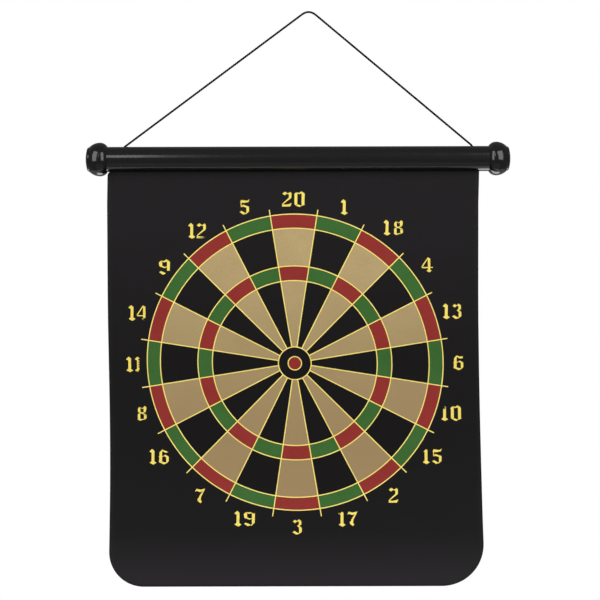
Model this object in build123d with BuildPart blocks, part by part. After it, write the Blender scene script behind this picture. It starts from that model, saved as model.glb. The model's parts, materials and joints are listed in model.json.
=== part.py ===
"""Roll-up magnetic dartboard on a hanging tube, in millimetres.

The origin is the hook point, where the cord bears on its hook. +Z is up, +X runs along the
tube to the viewer's right, and the printed side of the sheet faces -Y.
"""
from build123d import *
import os
from math import asin, cos, degrees, pi, radians, sin, sqrt

# Cord and hook
cord_d = 2.0
hook_bend_r = 10.6            # centreline radius of the cord over its hook
hook_offset = 10.6            # the hook sits this far to the right of the tube's middle
hang_height = 146.2           # cord centreline at the hook, above the tube's axis
hook_half_turn = radians(38)  # half of the angle that the cord turns through over its hook
exit_bend_r = 3.5             # bend where the cord leaves its hole
exit_rise = 3.1               # height of that bend's corner above the hole's pivot

# Tube
tube_d = 25.0
tube_wall = 1.6
tube_length = 380.0           # between the rims of the two end caps
slot_width = 2.6
slot_cut_height = 4.8         # tall enough to cut through the curved wall
cord_hole_d = 4.0
cord_hole_spacing = 346.4
cord_hole_depth = 4.0         # through the upper wall only

# End caps
rim_r = 13.2
bead_r = 16.75
bead_at = 7.0                 # distance of the bead's crown from the rim
face_r = 12.35
face_at = 17.5                # distance of the end disc's step from the rim
disc_r = 12.0
disc_shoulder = 1.1
cap_length = 21.3
spigot_length = 12.0
cap_pocket_r = 9.4
cap_pocket_depth = 26.5

# Knots inside the tube
knot_d = 6.0
knot_height = 4.6
knot_rounding = 0.9
knot_drop = 0.22              # slack between the knot and the tube's inner wall

# Sheet
sheet_width = 370.0
sheet_thickness = 1.2
sheet_corner_r = 40.0
rim_clearance = 0.3           # between the sheet's side edge and the end cap it slides up to
sheet_drop = 412.0            # length from the bending line under the slot to the lower edge
swing_drop = 14.0             # bending line under the slot, below the tube's axis
swing_gap = 0.25
apron_length = 30.0           # flat length between the slot and the first rolling line
roll_strips = 20              # flat slats that stand in for the sheet where it rolls
strip_gap = 0.1

# Curl that the sheet keeps from being stored rolled up
curl_length = 220.0
curl_angle = 24.0

# Finished roll
roll_core_r = 20.0
roll_pitch = 4.5

# Clamping strips and rivets at the sheet's top edge
batten_height = 9.0
batten_thickness = 1.8
batten_floor = 10.3           # lower edge of the battens, below the tube's axis
batten_chamfer = 0.4
rivet_count = 9
rivet_d = 2.0
rivet_head_d = 4.0
rivet_head = 0.6
rivet_head_taper = 20.0       # degrees
rivet_end_margin = 15.0       # from the ends of the battens to the first and last rivet
end_play = 0.5                # room between the clamped edge and a cap's spigot

# Places that follow from the sizes above
tube_x = -hook_offset
tube_z = cord_d / 2 - hang_height
tube_r = tube_d / 2
bore_r = tube_r - tube_wall
pivot_z = tube_z + (tube_r + bore_r) / 2
slide_travel = tube_length - sheet_width - 2 * rim_clearance
sheet_x = tube_x - slide_travel / 2
tab_width = tube_length - 2 * (spigot_length + end_play) - slide_travel
strip_length = (sheet_drop - apron_length) / roll_strips
batten_z = tube_z - batten_floor + batten_height / 2
rivet_spacing = (tab_width - 2 * rivet_end_margin) / (rivet_count - 1)

# The curled foot pulls the sheet's weight forward, so its flat part leans back to balance it.
curl_radius = curl_length / radians(curl_angle)
lean_back = degrees(curl_length**3 / (6 * curl_radius * sheet_drop) / (sheet_drop / 2))


def roll_turn(distance):
    """Full turn, in degrees, of the rolling line at this distance from the bending line."""
    left_to_roll = sheet_drop - distance - strip_length / 2
    radius = sqrt(roll_core_r**2 + left_to_roll * roll_pitch / pi)
    return 2 * degrees(asin(strip_length / 2 / radius))


def curl_up_to(distance):
    """Curl, in degrees, that the hanging sheet has gathered at this distance."""
    into_curl = distance - (sheet_drop - curl_length)
    return curl_angle * min(max(into_curl / curl_length, 0), 1)


def build_tube():
    """Thin tube, slit along the bottom for the sheet, with two holes on top for the cord."""
    end_plane = Plane(
        origin=(tube_x - tube_length / 2, 0, tube_z), x_dir=(0, 1, 0), z_dir=(1, 0, 0)
    )
    with BuildPart() as tube:
        with BuildSketch(end_plane):
            Circle(tube_r)
            Circle(bore_r, mode=Mode.SUBTRACT)
            with Locations((0, -tube_r)):
                Rectangle(slot_width, slot_cut_height, mode=Mode.SUBTRACT)
        extrude(amount=tube_length)
        with Locations((tube_x, 0, tube_z + tube_r)):
            with GridLocations(cord_hole_spacing, 1, 2, 1):
                Hole(cord_hole_d / 2, depth=cord_hole_depth)
    return tube.part


def build_end_cap(side):
    """Turned end cap with a beaded rim, a domed disc and a hollow spigot that plugs the tube."""
    rim = (tube_x + side * tube_length / 2, 0, tube_z)
    section = Plane(origin=rim, x_dir=(side, 0, 0), z_dir=(0, -side, 0))
    dome_end = (face_at + 2 * disc_shoulder, disc_r - disc_shoulder)
    spigot_end = Plane(rim, x_dir=(0, 1, 0), z_dir=(side, 0, 0)).offset(-spigot_length)
    with BuildPart() as cap:
        with BuildSketch(section):
            with BuildLine():
                Polyline((0, rim_r), (0, bore_r), (-spigot_length, bore_r), (-spigot_length, 0))
                Line((-spigot_length, 0), (cap_length, 0))
                TangentArc((cap_length, 0), dome_end, tangent=(0, 1))
                Polyline(dome_end, (face_at + disc_shoulder, disc_r), (face_at, disc_r), (face_at, face_r))
                TangentArc((bead_at, bead_r), (face_at, face_r), tangent=(1, 0))
                TangentArc((bead_at, bead_r), (0, rim_r), tangent=(-1, 0))
            make_face()
        revolve(axis=Axis(rim, (1, 0, 0)))
        with BuildSketch(spigot_end):
            Circle(cap_pocket_r)
        extrude(amount=cap_pocket_depth, mode=Mode.SUBTRACT)
    return cap.part


def build_knot(side):
    """Knot in the cord's end, tucked up under its hole inside the tube."""
    top = (tube_x + side * cord_hole_spacing / 2, 0, tube_z + bore_r - knot_drop)
    with BuildPart() as knot:
        with Locations(top):
            Cylinder(knot_d / 2, knot_height, align=(Align.CENTER, Align.CENTER, Align.MAX))
        fillet(knot.edges().filter_by(GeomType.CIRCLE), knot_rounding)
    return knot.part


def build_cord():
    """Cord pulled taut from one hole over the hook to the other."""
    left_x = tube_x - cord_hole_spacing / 2
    right_x = tube_x + cord_hole_spacing / 2
    corner_z = pivot_z + exit_rise
    hook_corner = cord_d / 2 + hook_bend_r * (1 / cos(hook_half_turn) - 1)
    route = [
        (left_x, 0, pivot_z),
        (left_x, 0, corner_z),
        (0, 0, hook_corner),
        (right_x, 0, corner_z),
        (right_x, 0, pivot_z),
    ]
    bends = [exit_bend_r, hook_bend_r, exit_bend_r]
    with BuildPart() as cord:
        with BuildLine() as path:
            FilletPolyline(*route, radius=bends)
        with BuildSketch(Plane(path.line @ 0, z_dir=path.line % 0)):
            Circle(cord_d / 2)
        sweep()
    length = path.wire().length
    print("cord bends", bends, "length", round(length, 1))
    print("cord volume", round(cord.part.volume, 1), "of", round(pi * cord_d**2 / 4 * length, 1))
    return cord.part


def build_batten(side):
    """Plastic strip that clamps one side of the sheet's top edge inside the tube."""
    face = side * sheet_thickness / 2
    with BuildPart() as batten:
        with BuildSketch(Plane(origin=(sheet_x, face, batten_z), x_dir=(1, 0, 0), z_dir=(0, side, 0))):
            Rectangle(tab_width, batten_height)
            with GridLocations(rivet_spacing, 1, rivet_count, 1):
                Circle(rivet_d / 2, mode=Mode.SUBTRACT)
        extrude(amount=batten_thickness)
        outer_face = batten.faces().sort_by(Axis.Y)[-1 if side > 0 else 0]
        chamfer(outer_face.outer_wire().edges(), batten_chamfer)
    return batten.part


def build_rivets():
    """Rivets through both battens and the sheet's top edge."""
    stack = sheet_thickness + 2 * batten_thickness
    with BuildPart() as rivets:
        with BuildSketch(Plane(origin=(sheet_x, -stack / 2, batten_z), x_dir=(1, 0, 0), z_dir=(0, -1, 0))):
            with GridLocations(rivet_spacing, 1, rivet_count, 1):
                Circle(rivet_d / 2)
        extrude(amount=-stack)
        for side in (-1, 1):
            seat = (sheet_x, side * stack / 2, batten_z)
            with BuildSketch(Plane(origin=seat, x_dir=(1, 0, 0), z_dir=(0, side, 0))):
                with GridLocations(rivet_spacing, 1, rivet_count, 1):
                    Circle(rivet_head_d / 2)
            extrude(amount=rivet_head, taper=rivet_head_taper)
    return rivets.part


def build_sheet_tab():
    """Top edge of the sheet, narrower than the rest, clamped in the tube and led out of its slot."""
    top_z = batten_z + batten_height / 2
    bottom_z = tube_z - swing_drop + swing_gap
    middle = (sheet_x, -sheet_thickness / 2, (top_z + bottom_z) / 2)
    with BuildPart() as tab:
        with BuildSketch(Plane(origin=middle, x_dir=(1, 0, 0), z_dir=(0, -1, 0))):
            Rectangle(tab_width, top_z - bottom_z)
            with Locations((0, batten_z - middle[2])):
                with GridLocations(rivet_spacing, 1, rivet_count, 1):
                    Circle(rivet_d / 2, mode=Mode.SUBTRACT)
        extrude(amount=-sheet_thickness)
    return tab.part


def strip_layout():
    """Place of each strip: its start and end distance, its tilt and its top front corner (y, z).

    The tilt is in degrees from vertical, positive where the lower edge comes forward.
    """
    starts = [0] + [apron_length + index * strip_length for index in range(roll_strips)]
    tilt = -lean_back
    y = -sheet_thickness / 2 * cos(radians(tilt))
    z = tube_z - swing_drop + sheet_thickness / 2 * sin(radians(tilt))
    layout = []
    for start in starts:
        length = strip_length if start else apron_length
        if start:
            tilt = curl_up_to(start + length / 2) - lean_back
        end = min(start + length, sheet_drop)
        layout.append((start, end, tilt, y, z))
        y -= length * sin(radians(tilt))
        z -= length * cos(radians(tilt))
    return layout


def build_strip(start, end, tilt, y, z):
    """Flat slat of the sheet between two bending lines, with its share of the rounded corners."""
    normal = (0, -cos(radians(tilt)), sin(radians(tilt)))
    top_gap = strip_gap / 2 if start else swing_gap
    bottom_gap = strip_gap / 2 if end < sheet_drop else 0
    height = end - start - top_gap - bottom_gap
    with BuildPart() as strip:
        with BuildSketch(Plane(origin=(sheet_x, y, z), x_dir=(1, 0, 0), z_dir=normal)) as outline:
            with Locations((0, start - sheet_drop / 2)):
                Rectangle(sheet_width, sheet_drop)
            fillet(outline.vertices().group_by(Axis.Y)[0], sheet_corner_r)
            with Locations((0, -top_gap - height / 2)):
                Rectangle(sheet_width, height, mode=Mode.INTERSECT)
        extrude(amount=-sheet_thickness)
    return strip.part


def save(part, label):
    part.label = label
    export_step(part, f"parts/{label}.step")


os.makedirs("parts", exist_ok=True)
save(build_cord(), "cord")
save(build_knot(-1), "cord_knot_left")
save(build_knot(1), "cord_knot_right")
save(build_tube(), "tube")
save(build_end_cap(-1), "end_cap_left")
save(build_end_cap(1), "end_cap_right")
save(build_batten(-1), "batten_front")
save(build_batten(1), "batten_rear")
save(build_rivets(), "batten_rivets")
save(build_sheet_tab(), "sheet_top_tab")
for number, place in enumerate(strip_layout(), 1):
    save(build_strip(*place), f"sheet_strip_{number:02}")
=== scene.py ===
"""Roll-up magnetic dartboard hung by its cord: the looks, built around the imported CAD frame.

Lengths are in metres in the row frame. The print and the sheet's cut are drawn flat in millimetres first, in
sheet coordinates: across from the sheet's middle line, and down from the bending line under the slot.
"""
import json
import math

import bmesh
import bpy
import numpy as np
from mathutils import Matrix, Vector
from mathutils.geometry import delaunay_2d_cdt


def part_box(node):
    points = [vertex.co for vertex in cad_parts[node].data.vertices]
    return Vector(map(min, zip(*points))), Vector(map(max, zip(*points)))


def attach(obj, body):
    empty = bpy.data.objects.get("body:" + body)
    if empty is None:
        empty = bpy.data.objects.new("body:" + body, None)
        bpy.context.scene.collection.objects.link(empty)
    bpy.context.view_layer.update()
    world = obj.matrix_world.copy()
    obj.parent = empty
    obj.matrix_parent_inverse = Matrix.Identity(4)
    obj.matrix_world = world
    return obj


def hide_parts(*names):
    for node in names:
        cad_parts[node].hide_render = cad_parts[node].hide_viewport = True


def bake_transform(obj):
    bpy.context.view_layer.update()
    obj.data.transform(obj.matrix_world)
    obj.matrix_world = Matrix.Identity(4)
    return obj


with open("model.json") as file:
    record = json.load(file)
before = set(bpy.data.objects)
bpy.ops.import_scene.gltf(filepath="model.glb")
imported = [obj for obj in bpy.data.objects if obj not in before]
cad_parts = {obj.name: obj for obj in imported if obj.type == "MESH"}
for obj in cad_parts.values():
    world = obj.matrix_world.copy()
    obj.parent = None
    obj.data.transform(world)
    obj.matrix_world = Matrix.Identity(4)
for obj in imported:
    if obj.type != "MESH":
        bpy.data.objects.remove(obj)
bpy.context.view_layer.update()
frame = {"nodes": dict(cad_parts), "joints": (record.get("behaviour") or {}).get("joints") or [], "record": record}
scene = bpy.context.scene
scene.view_settings.view_transform = "Standard"
nodes = frame["nodes"]
joints = {joint["name"]: joint for joint in frame["joints"]}
MM = 0.001

# ---------------------------------------------------------------- camera
CAMERA_AT = (-0.0090, -2.0, -0.2856)
CAMERA_LENS = 120.5           # in mm, like the sensor
CAMERA_SENSOR = 36.0
CAMERA_ROLL = math.radians(0.15)

camera_data = bpy.data.cameras.new("camera")
camera_data.lens = CAMERA_LENS
camera_data.sensor_width = CAMERA_SENSOR
camera = bpy.data.objects.new("camera", camera_data)
camera.location = CAMERA_AT
camera.rotation_euler = (math.pi / 2, CAMERA_ROLL, 0)
scene.collection.objects.link(camera)
scene.camera = camera


# ---------------------------------------------------------------- materials
def srgb(red, green, blue):
    """Linear colour from 0 to 255 display values."""
    def linear(value):
        value /= 255
        return value / 12.92 if value <= 0.04045 else ((value + 0.055) / 1.055) ** 2.4
    return (linear(red), linear(green), linear(blue), 1.0)


# Places of the Mix node's colour sockets, which share their names with its number and vector sockets
COLOUR_A, COLOUR_B, COLOUR_RESULT = 6, 7, 2
NOISE_LOW, NOISE_HIGH = 0.3, 0.7


class Nodes:
    """Short calls for building one material's node tree."""

    def __init__(self, name):
        self.material = bpy.data.materials.new(name)
        self.material.use_nodes = True
        self.tree = self.material.node_tree
        self.tree.nodes.clear()
        self.output = self.tree.nodes.new("ShaderNodeOutputMaterial")
        self.shader = self.tree.nodes.new("ShaderNodeBsdfPrincipled")
        self.link(self.shader.outputs["BSDF"], self.output.inputs["Surface"])

    def link(self, source, target):
        self.tree.links.new(source, target)

    def node(self, kind, **settings):
        made = self.tree.nodes.new("ShaderNode" + kind)
        for key, value in settings.items():
            setattr(made, key, value)
        return made

    def coordinates(self, uv_map=None, scale=(1, 1, 1)):
        """Mapped coordinates in metres: the object's own, or a UV map's."""
        if uv_map:
            source = self.node("UVMap", uv_map=uv_map).outputs["UV"]
        else:
            source = self.node("TexCoord").outputs["Object"]
        mapping = self.node("Mapping")
        mapping.inputs["Scale"].default_value = scale
        self.link(source, mapping.inputs["Vector"])
        return mapping.outputs["Vector"]

    def noise(self, vector, scale, detail=2.0, roughness=0.5, distortion=0.0):
        made = self.node("TexNoise")
        self.link(vector, made.inputs["Vector"])
        for key, value in (("Scale", scale), ("Detail", detail), ("Roughness", roughness),
                           ("Distortion", distortion)):
            made.inputs[key].default_value = value
        return made.outputs["Fac"]

    def cells(self, vector, scale, feature="F1"):
        made = self.node("TexVoronoi", feature=feature)
        self.link(vector, made.inputs["Vector"])
        made.inputs["Scale"].default_value = scale
        return made.outputs["Distance"]

    def spread(self, value, low, high, to_low=0.0, to_high=1.0):
        """The value's range low..high spread over to_low..to_high, clamped."""
        made = self.node("MapRange")
        self.link(value, made.inputs["Value"])
        for key, number in (("From Min", low), ("From Max", high), ("To Min", to_low), ("To Max", to_high)):
            made.inputs[key].default_value = number
        return made.outputs["Result"]

    def level(self, value, to_low=0.0, to_high=1.0):
        """A noise's usual range spread over to_low..to_high."""
        return self.spread(value, NOISE_LOW, NOISE_HIGH, to_low, to_high)

    def maths(self, operation, first, second):
        made = self.node("Math", operation=operation)
        for socket, value in zip(made.inputs, (first, second)):
            if isinstance(value, (int, float)):
                socket.default_value = value
            else:
                self.link(value, socket)
        return made.outputs["Value"]

    def mix(self, factor, first, second):
        """Colour mix; first and second are colours or sockets."""
        made = self.node("Mix", data_type="RGBA")
        self.link(factor, made.inputs["Factor"])
        for index, value in ((COLOUR_A, first), (COLOUR_B, second)):
            if isinstance(value, tuple):
                made.inputs[index].default_value = value
            else:
                self.link(value, made.inputs[index])
        return made.outputs[COLOUR_RESULT]

    def bump(self, height, distance, strength=1.0, under=None):
        made = self.node("Bump")
        made.inputs["Distance"].default_value = distance
        made.inputs["Strength"].default_value = strength
        self.link(height, made.inputs["Height"])
        if under is not None:
            self.link(under, made.inputs["Normal"])
        return made.outputs["Normal"]

    def feed(self, **sockets):
        """Links or sets the shader's sockets, by name with _ for a space."""
        for key, value in sockets.items():
            socket = self.shader.inputs[key.replace("_", " ")]
            if isinstance(value, (int, float, tuple)):
                socket.default_value = value
            else:
                self.link(value, socket)
        return self.material


SHEET_UV, CORD_UV = "sheet_uv", "cord_uv"
# Where the painted shade is full and where it starts: the sheet is drawn darker towards its foot, for light that
# falls off downwards
PAINTED_SHADE_TO, PAINTED_SHADE_FROM = -0.265, -0.055    # along the sheet UV, in metres above the bending line
# Where the painted sheen is full and where it starts: the curled foot is drawn lighter, for light caught where it
# faces up
PAINTED_SHEEN_TO, PAINTED_SHEEN_FROM = -0.420, -0.358


def sheet_material(name, dark, light, rough, specular, painted_shade=None, painted_sheen=None, weave=1.0):
    """Printed magnetic rubber: fine pebbled grain, cloudy tone, faint rubbed streaks and specks.

    dark and light are the two ends of its cloudy tone. The optional darker colour is painted shade,
    that it falls to by mid-sheet, and the optional lighter one is painted sheen on the curled foot.
    """
    made = Nodes(name)
    flat = made.coordinates(SHEET_UV)
    clouds = made.noise(flat, scale=26.0, detail=4.0, roughness=0.6)
    grain = made.noise(flat, scale=2100.0, detail=3.0, roughness=0.65)
    pebbles = made.cells(flat, 1150.0)
    streaked = made.coordinates(SHEET_UV, (14.0, 160.0, 1.0))
    rubbed = made.noise(streaked, scale=1.0, detail=5.0, roughness=0.7, distortion=0.6)
    mottle = made.noise(flat, scale=620.0, detail=2.0, roughness=0.7)
    fine_tone = made.maths("ADD", made.level(mottle, 0.0, 0.42), made.level(grain, 0.0, 0.2))
    tone = made.maths("ADD", made.level(clouds, 0.0, 0.38), fine_tone)
    colour = made.mix(tone, dark, light)
    down = made.node("SeparateXYZ")
    made.link(flat, down.inputs["Vector"])
    # Painted shade: darker towards the sheet's foot
    if painted_shade:
        colour = made.mix(made.spread(down.outputs["Y"], PAINTED_SHADE_TO, PAINTED_SHADE_FROM), painted_shade, colour)
    # Painted sheen: lighter on the curled foot
    if painted_sheen:
        colour = made.mix(made.spread(down.outputs["Y"], PAINTED_SHEEN_TO, PAINTED_SHEEN_FROM), painted_sheen, colour)
    rubbing = made.spread(rubbed, 0.35, 0.75, rough + 0.05, rough - 0.05)
    roughness = made.maths("ADD", rubbing, made.level(grain, -0.03, 0.03))
    fine = made.bump(grain, 0.00006, 0.55 * weave)
    coarse = made.bump(pebbles, 0.00005, 0.5 * weave, under=fine)
    return made.feed(Base_Color=colour, Roughness=roughness, Normal=coarse, Specular_IOR_Level=specular)


BLACK_LOW, BLACK_HIGH = (0.0076, 0.0064, 0.0075, 1), (0.0104, 0.0090, 0.0103, 1)
INKS = {
    "sheet_black": sheet_material(
        "sheet_black", BLACK_LOW, BLACK_HIGH, 0.56, 0.16,
        # painted shade towards the foot, then painted sheen on the curled foot
        painted_shade=(0.0040, 0.0032, 0.0040, 1), painted_sheen=(0.0155, 0.0135, 0.0155, 1)
    ),
    "print_black": sheet_material(
        "print_black", (0.0076, 0.0066, 0.0068, 1), (0.0105, 0.0092, 0.0094, 1), 0.6, 0.12,
        # painted shade towards the foot
        painted_shade=(0.0046, 0.0038, 0.0042, 1)
    ),
    "beige": sheet_material(
        # the last colour is painted shade towards the foot
        "beige", srgb(166, 144, 98), srgb(195, 172, 124), 0.6, 0.2, painted_shade=srgb(153, 129, 90)
    ),
    "red": sheet_material("red", srgb(131, 37, 33), srgb(149, 50, 45), 0.58, 0.16),
    "green": sheet_material("green", srgb(47, 92, 37), srgb(62, 107, 50), 0.58, 0.16),
    "gold": sheet_material("gold", srgb(240, 214, 98), srgb(252, 236, 138), 0.5, 0.25, weave=0.6),
    "numeral": sheet_material("numeral", srgb(236, 206, 78), srgb(250, 232, 120), 0.5, 0.25, weave=0.6),
    "sheet_back": sheet_material(
        "sheet_back", (0.0085, 0.0082, 0.0085, 1), (0.0150, 0.0145, 0.0150, 1), 0.66, 0.3, weave=1.6
    ),
    "sheet_edge": sheet_material(
        "sheet_edge", (0.012, 0.0115, 0.012, 1), (0.020, 0.019, 0.020, 1), 0.8, 0.25, weave=2.0
    ),
}
INK_ORDER = list(INKS)


def gloss_plastic(name, base, rough, scratch, along):
    """Gloss black plastic: slight waviness, hairline scratches along one way, dust that dulls the gloss."""
    made = Nodes(name)
    place = made.coordinates()
    waves = made.noise(place, scale=70.0, detail=2.0, roughness=0.4)
    hairlines = made.noise(made.coordinates(scale=along), scale=1.0, detail=3.0, roughness=0.6)
    dust = made.cells(place, 420.0)
    specks = made.spread(dust, 0.03, 0.09, 1.0, 0.0)
    clouds = made.noise(place, scale=45.0, detail=4.0, roughness=0.65)
    roughness = made.maths("ADD", made.spread(clouds, 0.35, 0.7, rough, rough + 0.06),
                           made.maths("MULTIPLY", specks, 0.25))
    colour = made.mix(made.maths("MULTIPLY", specks, 0.5), base, (0.03, 0.029, 0.028, 1))
    wavy = made.bump(waves, 0.00025, 0.35)
    lined = made.bump(made.spread(hairlines, 0.45, 0.62), 0.00001, scratch, under=wavy)
    made.feed(Base_Color=colour, Roughness=roughness, Normal=lined)
    return made.feed(Specular_IOR_Level=0.5, Coat_Weight=0.25, Coat_Roughness=0.08)


def matte_plastic(name):
    """Cut plastic strip: saw-tooth drag lines along it and a pale bloom."""
    made = Nodes(name)
    drag = made.noise(made.coordinates(scale=(60.0, 60.0, 2600.0)), scale=1.0, detail=4.0, roughness=0.6)
    bloom = made.noise(made.coordinates(), scale=90.0, detail=4.0, roughness=0.6)
    colour = made.mix(made.spread(bloom, 0.35, 0.7), (0.016, 0.016, 0.017, 1), (0.034, 0.034, 0.036, 1))
    return made.feed(Base_Color=colour, Roughness=made.level(drag, 0.42, 0.62),
                     Normal=made.bump(drag, 0.00003, 0.6))


def rivet_metal(name):
    """Plain aluminium rivet: turned and slightly dulled."""
    made = Nodes(name)
    dull = made.noise(made.coordinates(), scale=900.0, detail=4.0, roughness=0.6)
    colour = made.mix(made.level(dull), (0.52, 0.52, 0.53, 1), (0.72, 0.72, 0.73, 1))
    return made.feed(Base_Color=colour, Metallic=1.0, Roughness=made.level(dull, 0.28, 0.5),
                     Normal=made.bump(dull, 0.00002, 0.5))


def cord_fibre(name):
    """Black twine: fine fibres along the cord, with hardly any gloss."""
    made = Nodes(name)
    along = made.coordinates(CORD_UV, (2600.0, 260.0, 1.0))
    fibres = made.noise(along, scale=1.0, detail=4.0, roughness=0.7)
    fuzz = made.noise(made.coordinates(CORD_UV), scale=380.0, detail=3.0, roughness=0.6)
    colour = made.mix(made.level(fibres), (0.0012, 0.0012, 0.0013, 1), (0.0050, 0.0049, 0.0050, 1))
    made.feed(Base_Color=colour, Roughness=made.level(fuzz, 0.6, 0.85))
    made.feed(Normal=made.bump(fibres, 0.00008, 0.8), Specular_IOR_Level=0.15)
    return made.material


TUBE_BASE = (0.0056, 0.0053, 0.0056, 1)
FINISHES = {
    "tube": gloss_plastic("tube_gloss", TUBE_BASE, 0.155, 0.5, (4.0, 900.0, 900.0)),
    "end_cap": gloss_plastic("end_cap_gloss", TUBE_BASE, 0.10, 0.35, (900.0, 60.0, 60.0)),
    "batten": matte_plastic("batten_plastic"),
    "rivet": rivet_metal("rivet_aluminium"),
    "cord": cord_fibre("cord_twine"),
}
for subpart in frame["record"]["subparts"]:
    finish = FINISHES.get(subpart.get("material_slot"))
    if finish:
        cad_object = nodes[subpart["node"]]
        cad_object.data.materials.clear()
        cad_object.data.materials.append(finish)


# ---------------------------------------------------------------- cord and knots
CORD_D = 0.0022               # over the crowns of its plies
CORD_PLIES = 3
CORD_PITCH = 0.0075           # length of one whole twist
CORD_SIDES = 24
CORD_STEP = 0.0006
KNOT_STEPS = 90
KNOT_START = 2.0              # where the trefoil starts, in radians
KNOT_SHARE = 0.93             # the trefoil is left open, so that the cord can leave it
ply_r = CORD_D / 2 / (1 + 1 / math.sin(math.pi / CORD_PLIES))
ply_offset = CORD_D / 2 - ply_r
groove_floor = 0.84 * CORD_D / 2      # the grooves between the plies are filled with fluff up to here


def lobed_radius(angle):
    """Outline of the twisted plies, at an angle from one of them."""
    turn = 2 * math.pi / CORD_PLIES
    near = (angle + turn / 2) % turn - turn / 2
    inside = ply_r**2 - (ply_offset * math.sin(near)) ** 2
    return max(groove_floor, ply_offset * math.cos(near) + math.sqrt(max(inside, 0)))


def spline_points(control, resolution=40):
    """Points read from the NURBS spline that has these control points."""
    curve = bpy.data.curves.new("route", "CURVE")
    curve.dimensions = "3D"
    curve.resolution_u = resolution
    spline = curve.splines.new("NURBS")
    spline.points.add(len(control) - 1)
    for point, place in zip(spline.points, control):
        point.co = (*place, 1)
    spline.order_u = 3
    spline.use_endpoint_u = True
    carrier = bpy.data.objects.new("route", curve)
    read = bpy.data.meshes.new_from_object(carrier)
    points = [vertex.co.copy() for vertex in read.vertices]
    bpy.data.objects.remove(carrier)
    bpy.data.curves.remove(curve)
    bpy.data.meshes.remove(read)
    return points


def even_steps(points, step):
    """The same line, with points at equal steps."""
    lengths = [0.0]
    for first, second in zip(points, points[1:]):
        lengths.append(lengths[-1] + (second - first).length)
    count = max(2, round(lengths[-1] / step))
    places = np.linspace(0, lengths[-1], count + 1)
    line = np.array([point[:] for point in points])
    columns = [np.interp(places, lengths, line[:, axis]) for axis in range(3)]
    return [Vector(row) for row in np.stack(columns, axis=1)], places


def rope_mesh(name, points):
    """Closed twisted-cord mesh along the points, with a UV map of turn and length."""
    line, lengths = even_steps(points, CORD_STEP)
    made = bmesh.new()
    uv = made.loops.layers.uv.new(CORD_UV)
    rings = []
    side = Vector((0, 1, 0))
    for index, place in enumerate(line):
        tangent = (line[min(index + 1, len(line) - 1)] - line[max(index - 1, 0)]).normalized()
        side = (side - tangent * side.dot(tangent)).normalized()
        other = tangent.cross(side)
        twist = 2 * math.pi * lengths[index] / CORD_PITCH
        ring = []
        for corner in range(CORD_SIDES):
            angle = 2 * math.pi * corner / CORD_SIDES
            radius = lobed_radius(angle - twist)
            out = side * radius * math.cos(angle) + other * radius * math.sin(angle)
            ring.append(made.verts.new(place + out))
        rings.append(ring)
    for index, (first, second) in enumerate(zip(rings, rings[1:])):
        for corner in range(CORD_SIDES):
            after = (corner + 1) % CORD_SIDES
            face = made.faces.new((first[corner], first[after], second[after], second[corner]))
            face.smooth = True
            across = (corner, corner + 1, corner + 1, corner)
            along = (index, index, index + 1, index + 1)
            for loop, a, b in zip(face.loops, across, along):
                drift = lengths[b] / CORD_PITCH
                loop[uv].uv = ((a / CORD_SIDES - drift) * math.pi * CORD_D, lengths[b])
    made.faces.new(list(reversed(rings[0])))
    made.faces.new(rings[-1])
    bmesh.ops.recalc_face_normals(made, faces=made.faces)
    mesh = bpy.data.meshes.new(name)
    made.to_mesh(mesh)
    made.free()
    mesh.materials.append(FINISHES["cord"])
    rope = bpy.data.objects.new(name, mesh)
    scene.collection.objects.link(rope)
    return rope


LEFT_X, RIGHT_X = -0.1838, 0.1626
PIVOT_Z = joints["tube_tilt"]["pos_m"][2]
LEFT_CORNER_Z, RIGHT_CORNER_Z = -0.1331, -0.1322
HOOK_CORNER = (0.0007, 0, 0.0039)
HOOK_POINT_GAP = 0.018        # from the hook's corner to the point before and after it
EXIT_POINT_GAP = 0.0022       # the same at the bends where the cord leaves its holes


def towards(start, end, distance):
    """The point at this distance from the start, on the way to the end."""
    start, end = Vector(start), Vector(end)
    return start + (end - start).normalized() * distance


left_exit, right_exit = (LEFT_X, 0, PIVOT_Z), (RIGHT_X, 0, PIVOT_Z)
left_corner, right_corner = (LEFT_X, 0, LEFT_CORNER_Z), (RIGHT_X, 0, RIGHT_CORNER_Z)
cord_route = [
    left_exit,
    left_corner,
    towards(left_corner, HOOK_CORNER, EXIT_POINT_GAP),
    towards(HOOK_CORNER, left_corner, HOOK_POINT_GAP),
    HOOK_CORNER,
    towards(HOOK_CORNER, right_corner, HOOK_POINT_GAP),
    towards(right_corner, HOOK_CORNER, EXIT_POINT_GAP),
    right_corner,
    right_exit,
]
cord_line = spline_points(cord_route)
cord_piece = rope_mesh("cord_twisted", cord_line)
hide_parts("cord")
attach(cord_piece, "cord")

for side_name in ("left", "right"):
    node = f"cord_knot_{side_name}"
    low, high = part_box(node)
    middle = (low + high) / 2
    across = (high.x - low.x) / 2 - CORD_D / 2
    tall = (high.z - low.z) / 2 - CORD_D / 2
    turns = [KNOT_START + KNOT_SHARE * 2 * math.pi * step / KNOT_STEPS for step in range(KNOT_STEPS + 1)]
    loop = [
        middle + Vector((
            across / 3 * (math.sin(t) + 2 * math.sin(2 * t)),
            across / 3 * (math.cos(t) - 2 * math.cos(2 * t)),
            -tall * math.sin(3 * t),
        ))
        for t in turns
    ]
    rise = [Vector((middle.x, 0, high.z - CORD_D / 2)), Vector((middle.x, 0, PIVOT_Z))]
    knot = rope_mesh(f"knot_{side_name}", loop + [(loop[-1] + rise[0]) / 2] + rise)
    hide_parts(node)
    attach(knot, "tube")


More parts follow.
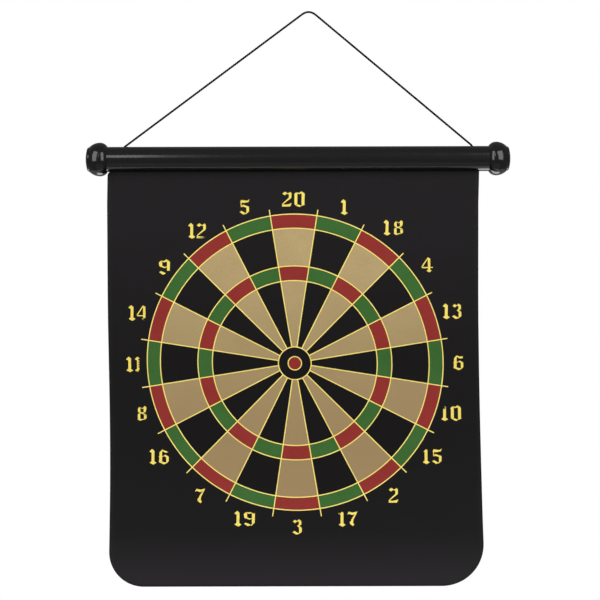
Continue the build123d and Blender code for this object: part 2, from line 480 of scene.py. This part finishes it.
# ---------------------------------------------------------------- the hanging sheet's line
sheet_low, sheet_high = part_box("sheet_strip_01")
SHEET_X = joints["sheet_swing"]["pos_m"][0]
HALF_WIDTH = (sheet_high.x - sheet_low.x) / 2 / MM
tab_low, tab_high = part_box("sheet_top_tab")
TAB_HALF_WIDTH = (tab_high.x - tab_low.x) / 2 / MM
THICKNESS = (tab_high.y - tab_low.y) / MM
swing_z = joints["sheet_swing"]["pos_m"][2]
roll_names = ["roll_up"] + [name for name in sorted(joints) if name.startswith("roll_up_")]
line_places = [(tab_low.y, swing_z)] + [tuple(joints[name]["pos_m"][1:]) for name in roll_names]
strip_length = math.dist(line_places[-1], line_places[-2])
foot_low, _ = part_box("sheet_strip_21")
last_y, last_z = line_places[-1]
line_places.append((foot_low.y, last_z - math.sqrt(strip_length**2 - (foot_low.y - last_y) ** 2)))
line_places = np.array(line_places) / MM
line_steps = np.linalg.norm(np.diff(line_places, axis=0), axis=1)
line_downs = np.concatenate([[0], np.cumsum(line_steps)])
SHEET_DROP = float(line_downs[-1])
TAB_TOP = -(tab_high.z - swing_z) / MM
chords = np.diff(line_places, axis=0) / line_steps[:, None]
tangents = np.concatenate([[(0.0, -1.0)], chords[:-1] + chords[1:], [1.5 * chords[-1] - 0.5 * chords[-2]]])
tangents /= np.linalg.norm(tangents, axis=1)[:, None]

# The sheet hangs a little askew: how far it drifts to the right, by how far down
DRIFT_DOWNS = (0, 30, 120, 150, 190, 230, 270, 310, 350, 412)
DRIFTS = (0, -0.68, -0.68, -0.5, 0.05, 0.7, 1.3, 1.75, 2.0, 2.6)


def hanging_place(across, down, depth):
    """Row-frame point of a sheet coordinate, depth behind the printed face."""
    if down <= 0:
        y, z, ty, tz = line_places[0][0], line_places[0][1] - down, 0.0, -1.0
    else:
        index = min(int(np.searchsorted(line_downs, down, side="right")) - 1, len(line_steps) - 1)
        step = line_steps[index]
        t = (down - line_downs[index]) / step
        a, b = line_places[index], line_places[index + 1]
        ta, tb = tangents[index] * step, tangents[index + 1] * step
        from_a = (2*t**3 - 3*t**2 + 1) * a + (t**3 - 2*t**2 + t) * ta
        from_b = (3*t**2 - 2*t**3) * b + (t**3 - t**2) * tb
        y, z = from_a + from_b
        ty, tz = (6*t**2 - 6*t) * (a - b) + (3*t**2 - 4*t + 1) * ta + (3*t**2 - 2*t) * tb
        tangent_length = math.hypot(ty, tz)
        ty, tz = ty / tangent_length, tz / tangent_length
    drift = float(np.interp(down, DRIFT_DOWNS, DRIFTS))
    return Vector((SHEET_X / MM + across + drift, y - tz * depth, z + ty * depth)) * MM


# ---------------------------------------------------------------- print
BULL = (0.80, 189.45)         # sheet coordinates of the print's centre
LINE = 1.02                   # width of the gold lines
RINGS = (6.7, 16.4, 82.4, 96.9, 134.3, 147.8)    # radii of the round gold lines
# The inks are printed slightly out of register: how far each ring's centre is off the bull, across and down
RING_OFFSETS = ((0.1, 0.3), (0.1, 0.3), (0.1, 0), (0.2, -0.1), (0.1, -0.3), (0.5, -0.9))
SPOKE_END = 154.8             # how far from the bull the spokes reach
SECTORS = 20
SEGMENTS = (48, 72, 160, 180, 240, 240)    # straight steps round each ring

# Each digit's strokes, as outlines about its own middle, across and up
GLYPHS = {
    "0": ([(-5.9, 5.0), (-3.6, 7.2), (-1.8, 5.4), (-1.8, -5.2), (-3.4, -7.0), (-5.2, -5.4), (-5.2, 4.2)],
          [(1.6, 8.4), (4.6, 6.6), (5.4, 5.2), (5.2, -4.6), (6.0, -5.6), (2.2, -7.4), (1.9, -5.0), (1.9, 5.0),
           (0.6, 6.4)],
          [(-3.6, 7.2), (-0.4, 6.8), (1.6, 8.4), (2.4, 6.4), (0.2, 4.9), (-2.6, 5.6)],
          [(-3.6, -6.9), (-1.6, -5.0), (1.0, -6.2), (3.0, -6.6), (0.2, -8.4)]),
    "1": ([(-1.0, 8.4), (1.7, 6.2), (1.5, -4.6), (3.9, -6.2), (0.3, -8.5), (-3.9, -6.2), (-1.8, -4.4),
           (-1.6, 4.0), (-3.9, 5.0), (-3.2, 6.2)],),
    "2": ([(-5.0, 5.6), (-2.4, 8.0), (0.4, 6.0), (-2.2, 3.6)],
          [(-2.4, 8.0), (0.8, 6.2), (3.2, 7.8), (4.6, 6.2), (2.0, 4.6), (0.0, 5.0)],
          [(1.6, 6.6), (4.7, 6.6), (4.7, 1.6), (3.8, 0.4), (1.6, 0.4)],
          [(1.6, 1.6), (3.9, 0.6), (-2.2, -4.2), (-4.6, -5.8), (-4.9, -4.6)],
          [(-5.1, -7.8), (-4.9, -4.6), (-1.6, -5.4), (2.0, -4.9), (4.0, -3.9), (5.1, -4.1), (3.4, -7.8)]),
    "3": ([(-4.6, 5.6), (-2.0, 7.8), (0.6, 5.8), (-1.8, 3.6)],
          [(-0.6, 6.0), (1.8, 8.2), (4.4, 6.4), (4.6, 2.4), (2.2, 0.8), (-0.2, 1.0), (1.6, 2.6), (1.6, 5.0)],
          [(-0.4, 1.2), (2.4, 1.4), (4.8, -0.6), (4.4, -1.6), (1.8, -0.8)],
          [(1.7, -0.6), (4.9, -0.9), (4.9, -5.2), (1.0, -8.0), (0.2, -7.0), (1.7, -5.6)],
          [(-5.1, -5.4), (-2.6, -3.8), (0.6, -5.8), (1.8, -7.2), (-0.9, -8.3)]),
    "4": ([(0.4, 7.6), (1.6, 6.6), (-3.8, -1.9), (-6.0, -2.3)],
          [(-6.0, -2.3), (-3.9, 1.2), (-2.6, 0.6), (-3.6, -2.0)],
          [(-6.0, -2.2), (6.1, -2.0), (6.1, -3.4), (-5.0, -3.8)],
          [(0.6, 8.2), (3.6, 6.4), (3.5, -5.4), (0.7, -5.4)],
          [(-0.9, -6.2), (0.7, -5.0), (3.5, -5.0), (5.2, -6.2), (2.2, -8.2)]),
    "5": ([(-4.4, 4.2), (-3.4, 7.4), (2.8, 6.6), (5.4, 8.2), (4.4, 4.8), (0.0, 3.9)],
          [(-3.6, 6.8), (-2.4, 6.8), (-2.4, 0.6), (-3.9, 0.2)],
          [(-3.9, 0.2), (-1.2, 2.6), (2.0, 1.4), (4.9, 0.4), (4.9, -1.6), (2.0, -1.0), (-1.4, 0.2),
           (-2.8, -0.6)],
          [(1.9, 0.6), (4.9, 0.4), (5.0, -4.8), (3.6, -6.2), (1.2, -8.0), (0.4, -7.0), (1.9, -5.4)],
          [(-5.2, -5.2), (-2.8, -3.8), (0.8, -5.8), (1.4, -7.4), (-1.0, -8.2)]),
    "6": ([(-5.5, -0.2), (-4.5, 1.0), (-4.5, 4.4), (-1.6, 7.9), (-0.4, 6.6), (-1.4, 5.0), (-1.4, -5.4),
           (-3.2, -6.8), (-5.2, -5.6), (-4.6, -1.2)],
          [(-2.0, 7.6), (1.6, 6.4), (4.6, 7.0), (5.0, 4.6), (2.0, 3.8), (-1.4, 5.4)],
          [(-1.6, 0.6), (1.6, 2.4), (4.9, 0.4), (5.2, -0.6), (2.2, -0.8), (0.4, 0.4), (-1.6, -0.8)],
          [(2.2, 0.2), (5.2, -0.2), (5.2, -4.6), (3.4, -6.4), (2.2, -5.4)],
          [(-3.4, -6.6), (-1.4, -4.8), (1.2, -5.6), (4.6, -5.2), (3.4, -6.6), (0.4, -8.2)]),
    "7": ([(-5.3, 4.0), (-3.8, 7.6), (0.4, 6.6), (5.3, 7.8), (4.2, 5.2), (0.0, 3.6), (-3.6, 4.8)],
          [(3.0, 6.0), (5.2, 7.6), (1.4, -0.8), (0.8, -3.4), (-1.6, -3.0), (-1.2, -0.4)],
          [(-3.0, -3.2), (-1.0, -1.2), (0.9, -2.6), (1.0, -4.6), (2.4, -5.8), (0.2, -7.9), (-2.6, -5.4)]),
    "8": ([(-4.2, 4.6), (-2.6, 6.8), (-1.2, 5.4), (-1.2, 1.6), (-2.8, 0.4), (-4.2, 1.6)],
          [(1.6, 5.0), (2.8, 8.0), (4.9, 6.2), (4.4, 2.4), (3.0, 1.0), (1.4, 2.0)],
          [(-2.6, 6.8), (0.6, 5.4), (2.8, 7.8), (3.0, 5.4), (0.6, 4.2), (-1.2, 5.2)],
          [(-4.1, 1.8), (-2.0, 2.0), (1.6, 0.2), (4.8, -1.2), (3.6, -2.4), (0.6, -0.9), (-2.6, 0.4)],
          [(3.4, 2.4), (4.2, 1.2), (-3.4, -1.6), (-3.9, -0.4)],
          [(-4.4, -1.0), (-2.2, -0.2), (-1.4, -1.6), (-1.4, -5.4), (-3.0, -6.6), (-4.4, -5.4)],
          [(1.8, -1.2), (3.6, -2.2), (4.9, -1.4), (4.9, -5.2), (3.2, -6.6), (1.8, -5.4)],
          [(-5.1, -6.0), (-3.0, -5.0), (-0.6, -5.8), (1.8, -5.4), (3.4, -6.6), (1.0, -6.9), (-2.0, -8.0)]),
    "9": ([(-5.6, 4.6), (-3.4, 7.0), (-1.8, 5.2), (-1.8, 1.0), (-3.4, -0.4), (-5.2, 0.8)],
          [(-3.4, 7.0), (-0.4, 6.4), (2.0, 8.2), (5.4, 6.2), (4.6, 4.6), (1.8, 5.2), (-0.4, 4.6),
           (-1.8, 5.2)],
          [(2.4, 6.4), (5.4, 6.0), (6.0, 5.0), (5.6, -4.4), (2.0, -8.0), (1.0, -7.0), (2.4, -5.2)],
          [(-3.4, -0.2), (-1.8, 1.4), (0.8, 0.2), (2.6, 1.2), (2.6, -0.6), (0.4, -1.4)],
          [(-5.6, -5.4), (-3.4, -3.8), (0.0, -5.4), (2.0, -6.6), (-1.4, -8.3)]),
}
GLYPH_WIDTH = {"0": 11.9, "1": 7.8, "2": 10.2, "3": 10.0, "4": 12.1,
               "5": 10.6, "6": 10.7, "7": 10.6, "8": 10.0, "9": 11.6}
GLYPH_SLIM = 0.25             # strokes are drawn thinner than their outlines by this much on each side
GLYPH_TALL = 0.965            # their height, as a share of the outlines' height
MITRE_LIMIT = 0.6             # keeps the point of a sharp corner from moving too far in
GLYPH_GAP = 1.4               # between two digits, but for the pairs below
PAIR_GAPS = {"11": 0.9, "12": 0.6, "14": 0.1, "17": 1.0, "18": 2.2}

# The numerals, clockwise from the top. Each stands in the middle of its sector, this far from the bull
NUMERALS = (
    "20", "1", "18", "4", "13", "6", "10", "15", "2", "17",
    "3", "19", "7", "16", "8", "11", "14", "9", "12", "5",
)
NUMERAL_REACH = 163.5
# Some stand off their places: how much further out, and how far round clockwise
NUMERAL_NUDGES = {
    "18": (4, 1), "4": (1.5, -1), "13": (2.5, 0), "15": (1, -4), "19": (0, 1.5),
    "16": (2, 5), "8": (-2, 0), "11": (-3, -1), "9": (-2.5, 2), "5": (0, 1.5),
}


def slimmed(outline, inset):
    """The outline with every edge moved inwards by the inset."""
    after = outline[1:] + outline[:1]
    turn = sum(xa * yb - xb * ya for (xa, ya), (xb, yb) in zip(outline, after))
    inwards = math.copysign(1.0, turn)
    normals = []
    for (xa, ya), (xb, yb) in zip(outline, after):
        length = math.hypot(xb - xa, yb - ya)
        normals.append((-inwards * (yb - ya) / length, inwards * (xb - xa) / length))
    moved = []
    for (x, y), (xn, yn), (xm, ym) in zip(outline, normals[-1:] + normals[:-1], normals):
        reach = inset / max(1 + xn * xm + yn * ym, MITRE_LIMIT)
        moved.append((x + (xn + xm) * reach, y + (yn + ym) * reach))
    return moved


def numeral_outlines():
    """Every numeral's stroke outlines, in sheet coordinates."""
    outlines = []
    for index, text in enumerate(NUMERALS):
        angle = 2 * math.pi * index / SECTORS
        further, aside = NUMERAL_NUDGES.get(text, (0, 0))
        reach = NUMERAL_REACH + further
        across = reach * math.sin(angle) + aside * math.cos(angle)
        down = aside * math.sin(angle) - reach * math.cos(angle)
        gap = PAIR_GAPS.get(text, GLYPH_GAP)
        total = sum(GLYPH_WIDTH[digit] for digit in text) + gap * (len(text) - 1)
        left = -total / 2
        for digit in text:
            centre = left + GLYPH_WIDTH[digit] / 2
            for outline in GLYPHS[digit]:
                outlines.append([
                    (BULL[0] + across + centre + x, BULL[1] + down - y * GLYPH_TALL)
                    for x, y in slimmed(outline, GLYPH_SLIM)
                ])
            left += GLYPH_WIDTH[digit] + gap
    return outlines


def ring_points(radius, offset, segments):
    """Circle of straight steps, its centre offset from the bull."""
    return [
        (BULL[0] + offset[0] + radius * math.sin(2 * math.pi * k / segments),
         BULL[1] + offset[1] - radius * math.cos(2 * math.pi * k / segments))
        for k in range(segments)
    ]


def spoke_outline(index):
    """Thin rectangle of one gold spoke, from the middle of the outer bull's line to just past the rings."""
    angle = 2 * math.pi * (index + 0.5) / SECTORS
    out, side = (math.sin(angle), -math.cos(angle)), (math.cos(angle), math.sin(angle))
    near, far, half = RINGS[1], SPOKE_END, LINE / 2
    return [
        (BULL[0] + out[0] * radius + side[0] * aside, BULL[1] + out[1] * radius + side[1] * aside)
        for radius, aside in ((near, half), (far, half), (far, -half), (near, -half))
    ]


def inside(point, outline):
    """True if the point is inside the closed outline."""
    x, y = point
    hit = False
    for (xa, ya), (xb, yb) in zip(outline, outline[1:] + outline[:1]):
        if (ya > y) != (yb > y) and x < (xb - xa) * (y - ya) / (yb - ya) + xa:
            hit = not hit
    return hit


def ink_at(across, down, numerals):
    """Name of the ink at a sheet coordinate."""
    x, y = across - BULL[0], down - BULL[1]
    radius = math.hypot(x, y)
    if radius > SPOKE_END + LINE:
        for low_x, high_x, low_y, high_y, outline in numerals:
            if low_x <= across <= high_x and low_y <= down <= high_y and inside((across, down), outline):
                return "numeral"
        return "sheet_black"
    past = [math.hypot(x - dx, y - dy) - ring for ring, (dx, dy) in zip(RINGS, RING_OFFSETS)]
    if any(abs(distance) < LINE / 2 for distance in past):
        return "gold"
    if past[0] < 0:
        return "red"
    if past[1] < 0:
        return "print_black"
    sector = math.atan2(x, -y) / (2 * math.pi) * SECTORS
    from_spoke = abs((sector % 1) - 0.5) * 2 * math.pi / SECTORS
    if radius * math.sin(from_spoke) < LINE / 2 and radius < SPOKE_END:
        return "gold"
    if past[5] > 0:
        return "sheet_black"
    even = round(sector) % 2 == 0
    if past[2] > 0 > past[3] or past[4] > 0 > past[5]:
        return "red" if even else "green"
    return "beige" if even else "print_black"


# ---------------------------------------------------------------- the sheet's cut
EDGE_ROUND = 0.18             # worn edge of the cut rubber
FOOT_LEFT_R, FOOT_RIGHT_R = 35.0, 43.0
SHOULDER = -2.3               # full width starts here, in the mouth of the slot
SHOULDER_LEFT_R, SHOULDER_RIGHT_R = 4.5, 1.2
COLUMN = 12.0
GRID_MARGIN = 5               # the grid's lines run past the cut by this much
ROWS_PER_STRIP = 8
TOP_BEND_START, TOP_BEND_END = -3.0, 10.0    # the sheet bends from here to here as it swings under the slot
SHARP_EDGE = math.radians(50)
ARC_STEPS = 18
MERGE_DISTANCE = 1e-5
KEY_DECIMALS = 4
ON_ROW = 1e-3                 # a point this near to a row lies on it


def rounded(place):
    """The place as a key, under which the same place is found again."""
    return tuple(round(value, KEY_DECIMALS) for value in place)


def corner_arc(centre, radius, start, end):
    """Points round a corner, from one angle to another in degrees; 0 is right and 90 is down."""
    angles = np.radians(np.linspace(start, end, ARC_STEPS + 1))
    return [(centre[0] + radius * math.cos(a), centre[1] + radius * math.sin(a)) for a in angles]


def sheet_outline():
    """The cut's outline, drawn in by the worn edge, going down the right side first."""
    wide, tab = HALF_WIDTH - EDGE_ROUND, TAB_HALF_WIDTH - EDGE_ROUND
    top, shoulder, foot = TAB_TOP + EDGE_ROUND, SHOULDER + EDGE_ROUND, SHEET_DROP - EDGE_ROUND
    right_r, left_r = FOOT_RIGHT_R - EDGE_ROUND, FOOT_LEFT_R - EDGE_ROUND
    points = [(-tab, top), (tab, top), (tab, shoulder)]
    points += corner_arc((wide - SHOULDER_RIGHT_R, shoulder + SHOULDER_RIGHT_R), SHOULDER_RIGHT_R, -90, 0)
    points += corner_arc((wide - right_r, foot - right_r), right_r, 0, 90)
    points += corner_arc((-wide + left_r, foot - left_r), left_r, 90, 180)
    points += corner_arc((-wide + SHOULDER_LEFT_R, shoulder + SHOULDER_LEFT_R), SHOULDER_LEFT_R, 180, 270)
    points += [(-tab, shoulder)]
    return points


# Lines where one patch ends and the next starts: mid-apron, then the middle of each strip
strip_mids = [(a + b) / 2 for a, b in zip(line_downs[1:], line_downs[2:])]
patch_ends = [line_downs[1] / 2] + strip_mids[:-1]
row_downs = [-6.0, SHOULDER + 0.9, 0.0, 2.0, 4.0, 6.0, 8.0, TOP_BEND_END]
borders = list(patch_ends) + [SHEET_DROP]
for start, end in zip(borders, borders[1:]):
    row_downs += list(np.linspace(start, end, ROWS_PER_STRIP + 1)[:-1])
half_columns = int(HALF_WIDTH // COLUMN)
column_places = [COLUMN * k for k in range(-half_columns, half_columns + 1)]


def flat_mesh(closed_lines, open_lines):
    """Triangles of the flat sheet that keep to the closed and open lines, as (points, triangles)."""
    points, edges = [], []
    for line in closed_lines:
        first = len(points)
        points += line
        edges += [(first + k, first + (k + 1) % len(line)) for k in range(len(line))]
    for line in open_lines:
        first = len(points)
        points += line
        edges += [(first + k, first + k + 1) for k in range(len(line) - 1)]
    made = delaunay_2d_cdt([Vector(point) for point in points], edges, [], 0, MERGE_DISTANCE, False)
    return [tuple(place) for place in made[0]], [tuple(face) for face in made[2]]


outline = sheet_outline()
grid_side, grid_top, grid_foot = HALF_WIDTH + GRID_MARGIN, TAB_TOP - GRID_MARGIN, SHEET_DROP + GRID_MARGIN
grid = [[(-grid_side, down), (grid_side, down)] for down in row_downs]
grid += [[(across, grid_top), (across, grid_foot)] for across in column_places]
numeral_lines = numeral_outlines()
print_lines = []
for radius, offset, segments in zip(RINGS, RING_OFFSETS, SEGMENTS):
    print_lines.append(ring_points(radius - LINE / 2, offset, segments))
    print_lines.append(ring_points(radius + LINE / 2, offset, segments))
print_lines += [spoke_outline(index) for index in range(SECTORS)]
numeral_boxes = [
    (min(p[0] for p in line), max(p[0] for p in line), min(p[1] for p in line), max(p[1] for p in line), line)
    for line in numeral_lines
]


class SheetMesh:
    """Collects the sheet's vertices and faces, then cuts them into patches."""

    def __init__(self):
        self.flat = []        # (across, down, depth) of every vertex
        self.index = {}
        self.faces = []       # (patch, vertex indices, material index)

    def vertex(self, across, down, depth):
        key = rounded((across, down, depth))
        if key not in self.index:
            self.index[key] = len(self.flat)
            self.flat.append((across, down, depth))
        return self.index[key]

    def patch_of(self, down):
        return int(np.searchsorted(patch_ends, down))

    def face(self, corners, ink, patch=None):
        indices = [self.vertex(*corner) for corner in corners]
        if len(set(indices)) < 3:
            return
        if patch is None:
            patch = self.patch_of(sum(corner[1] for corner in corners) / len(corners))
        self.faces.append((patch, indices, INK_ORDER.index(ink)))


def middle_of(corners):
    return tuple(sum(values) / len(corners) for values in zip(*corners))


def add_side(sheet, points, triangles, depth, flip, ink):
    """Adds the triangles that lie inside the cut, and gives the edges round them in order of direction."""
    seen = {}
    for triangle in triangles:
        corners = [points[k] for k in triangle]
        centre = middle_of(corners)
        if not inside(centre, outline):
            continue
        (xa, ya), (xb, yb), (xc, yc) = corners
        area = (xb - xa) * (yc - ya) - (xc - xa) * (yb - ya)
        if area < 0:
            corners.reverse()
            triangle = tuple(reversed(triangle))
        for a, b in zip(triangle, triangle[1:] + triangle[:1]):
            seen[(a, b)] = seen.get((a, b), 0) + 1
        placed = [(x, y, depth) for x, y in corners]
        if flip:
            placed.reverse()
        sheet.face(placed, ink(*centre) if callable(ink) else ink)
    return [(points[a], points[b]) for a, b in seen if (b, a) not in seen]


def outward_of(edges):
    """Average outward direction at each point on the cut's edge."""
    directions = {}
    for (xa, ya), (xb, yb) in edges:
        length = math.hypot(xb - xa, yb - ya)
        normal = np.array(((yb - ya) / length, -(xb - xa) / length))
        for place in ((xa, ya), (xb, yb)):
            key = rounded(place)
            directions[key] = directions.get(key, 0) + normal
    return {key: value / np.linalg.norm(value) for key, value in directions.items()}


sheet_mesh = SheetMesh()
front_points, front_triangles = flat_mesh([outline] + print_lines + numeral_lines, grid)
back_points, back_triangles = flat_mesh([outline], grid)
rim = add_side(sheet_mesh, front_points, front_triangles, 0.0, False,
               lambda across, down: ink_at(across, down, numeral_boxes))
add_side(sheet_mesh, back_points, back_triangles, THICKNESS, True, "sheet_back")
outward = outward_of(rim)


def rim_profile(place):
    """The four points through the thickness at one point of the cut's edge."""
    out = outward[rounded(place)] * EDGE_ROUND
    bulged = (place[0] + out[0], place[1] + out[1])
    return [(*place, 0.0), (*bulged, EDGE_ROUND), (*bulged, THICKNESS - EDGE_ROUND), (*place, THICKNESS)]


for start, end in rim:
    a, b = rim_profile(start), rim_profile(end)
    patch = sheet_mesh.patch_of((start[1] + end[1]) / 2)
    for level in range(3):
        sheet_mesh.face([b[level], a[level], a[level + 1], b[level + 1]], "sheet_edge", patch)


def row_at(points, down):
    """Points of one side that lie on a row inside the cut, from left to right."""
    found = sorted({rounded(p): p for p in points if abs(p[1] - down) < ON_ROW}.values())
    return [p for p in found if abs(p[0]) <= HALF_WIDTH and (inside(p, outline) or rounded(p) in outward)]


for number, down in enumerate(patch_ends):
    front_row, back_row = row_at(front_points, down), row_at(back_points, down)
    strip = []
    i = j = 0
    while i < len(front_row) - 1 or j < len(back_row) - 1:
        front_next = front_row[i + 1][0] if i < len(front_row) - 1 else math.inf
        back_next = back_row[j + 1][0] if j < len(back_row) - 1 else math.inf
        if front_next <= back_next:
            strip.append([(*front_row[i], 0.0), (*front_row[i + 1], 0.0), (*back_row[j], THICKNESS)])
            i += 1
        else:
            strip.append([(*front_row[i], 0.0), (*back_row[j + 1], THICKNESS), (*back_row[j], THICKNESS)])
            j += 1
    left, right = rim_profile(front_row[0]), rim_profile(front_row[-1])
    strip += [[left[0], left[3], left[2], left[1]], [right[0], right[1], right[2], right[3]]]
    for corners in strip:
        sheet_mesh.face(list(reversed(corners)), "sheet_edge", number)
        sheet_mesh.face(corners, "sheet_edge", number + 1)

joint_downs = [0.0] + [float(d) for d in line_downs[1:-1]]
placed = [hanging_place(*flat) for flat in sheet_mesh.flat]

for number in range(len(joint_downs)):
    faces = [(indices, ink) for patch, indices, ink in sheet_mesh.faces if patch == number]
    used = sorted({index for indices, _ in faces for index in indices})
    local = {index: k for k, index in enumerate(used)}
    mesh = bpy.data.meshes.new(f"board_sheet_{number:02}")
    polygons = [[local[index] for index in indices] for indices, _ in faces]
    mesh.from_pydata([placed[index] for index in used], [], polygons)
    for ink in INK_ORDER:
        mesh.materials.append(INKS[ink])
    mesh.polygons.foreach_set("material_index", [ink for _, ink in faces])
    mesh.shade_smooth()
    uv = mesh.uv_layers.new(name=SHEET_UV)
    for loop in mesh.loops:
        across, down, depth = sheet_mesh.flat[used[loop.vertex_index]]
        uv.data[loop.index].uv = (across * MM, -(down + depth) * MM)
    mesh.update()
    mesh.set_sharp_from_angle(angle=SHARP_EDGE)
    piece = bpy.data.objects.new(f"board_sheet_{number:02}", mesh)
    scene.collection.objects.link(piece)
    if number == 0:
        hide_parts("sheet_top_tab", "sheet_strip_01")
    else:
        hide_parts(f"sheet_strip_{number + 1:02}")
    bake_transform(piece)


# ---------------------------------------------------------------- floor, world and lights
FLOOR_Z = -0.95
FLOOR_R = 1.15
FLOOR_FRONT = 0.13            # how far the floor reaches in front of the board
FLOOR_DARK, FLOOR_LIGHT = (0.80, 0.80, 0.80, 1), (0.86, 0.86, 0.86, 1)
FLOOR_GLOW = 0.5              # keeps the floor pale to the eye where little light falls
BACKGROUND = 1.0              # white, as the camera sees it
ROOM_LIGHT = 0.16             # the same surroundings, as a light

floor_material = Nodes("floor_pale")
floor_speckle = floor_material.noise(floor_material.coordinates(), scale=240.0, detail=3.0, roughness=0.6)
floor_seen = floor_material.node("LightPath").outputs["Is Camera Ray"]
floor_material.feed(
    Base_Color=floor_material.mix(floor_material.level(floor_speckle), FLOOR_DARK, FLOOR_LIGHT),
    Roughness=0.9,
    Emission_Color=(1, 1, 1, 1),
    Emission_Strength=floor_material.maths("MULTIPLY", floor_seen, FLOOR_GLOW),
)
floor_shape = bmesh.new()
bmesh.ops.create_circle(floor_shape, cap_ends=True, segments=96, radius=FLOOR_R)
floor_mesh = bpy.data.meshes.new("floor")
floor_shape.to_mesh(floor_mesh)
floor_shape.free()
floor_mesh.materials.append(floor_material.material)
floor = bpy.data.objects.new("floor", floor_mesh)
floor.location = (0, FLOOR_R - FLOOR_FRONT, FLOOR_Z)
scene.collection.objects.link(floor)

world = bpy.data.worlds.new("studio")
world.use_nodes = True
scene.world = world
tree = world.node_tree
tree.nodes.clear()
world_output = tree.nodes.new("ShaderNodeOutputWorld")
seen_white = tree.nodes.new("ShaderNodeBackground")
seen_white.inputs["Color"].default_value = (1, 1, 1, 1)
seen_white.inputs["Strength"].default_value = BACKGROUND
room_light = tree.nodes.new("ShaderNodeBackground")
room_light.inputs["Color"].default_value = (1, 1, 1, 1)
room_light.inputs["Strength"].default_value = ROOM_LIGHT
ray = tree.nodes.new("ShaderNodeLightPath")
chosen = tree.nodes.new("ShaderNodeMixShader")
tree.links.new(ray.outputs["Is Camera Ray"], chosen.inputs["Fac"])
tree.links.new(room_light.outputs["Background"], chosen.inputs[1])
tree.links.new(seen_white.outputs["Background"], chosen.inputs[2])
tree.links.new(chosen.outputs["Shader"], world_output.inputs["Surface"])


def area_light(name, place, aim, size, radiance, spread=180, glossy=True):
    """Rectangular soft light at a place, aimed at a point; spread is in degrees."""
    data = bpy.data.lights.new(name, "AREA")
    data.shape = "RECTANGLE"
    data.size, data.size_y = size
    data.energy = radiance * math.pi * size[0] * size[1]
    data.spread = math.radians(spread)
    light = bpy.data.objects.new(name, data)
    light.location = place
    light.rotation_mode = "QUATERNION"
    light.rotation_quaternion = (Vector(aim) - Vector(place)).to_track_quat("-Z", "Y")
    light.visible_camera = False
    light.visible_glossy = glossy
    scene.collection.objects.link(light)


area_light("key_top", (0.0, -1.25, 1.35), (0, 0, -0.28), (1.3, 0.7), 1.06, spread=75, glossy=False)
area_light("box_left", (-1.11, -1.07, 0.34), (-0.15, 0, -0.15), (0.9, 1.76), 2.8)
area_light("box_right", (1.01, -1.28, 0.37), (0.1, 0, -0.15), (1.12, 1.76), 2.75)
area_light("tube_glint", (-0.35, -1.4, 0.47), (-0.2, 0, -0.15), (0.16, 0.6), 3.6)
area_light("strip_below", (0.0, -0.065, -0.93), (0, -0.05, 0), (0.8, 0.09), 0.8)
area_light("front_low", (0.0, -0.55, -1.0), (0, 0, -0.15), (1.4, 0.7), 0.13)
area_light("strip_behind", (0.0, 0.42, -0.93), (0, 0.3, 0), (0.9, 0.45), 3.5)
area_light("back_fill", (0.35, 1.7, 0.9), (0, 0, -0.3), (1.2, 0.9), 0.8, spread=90, glossy=False)
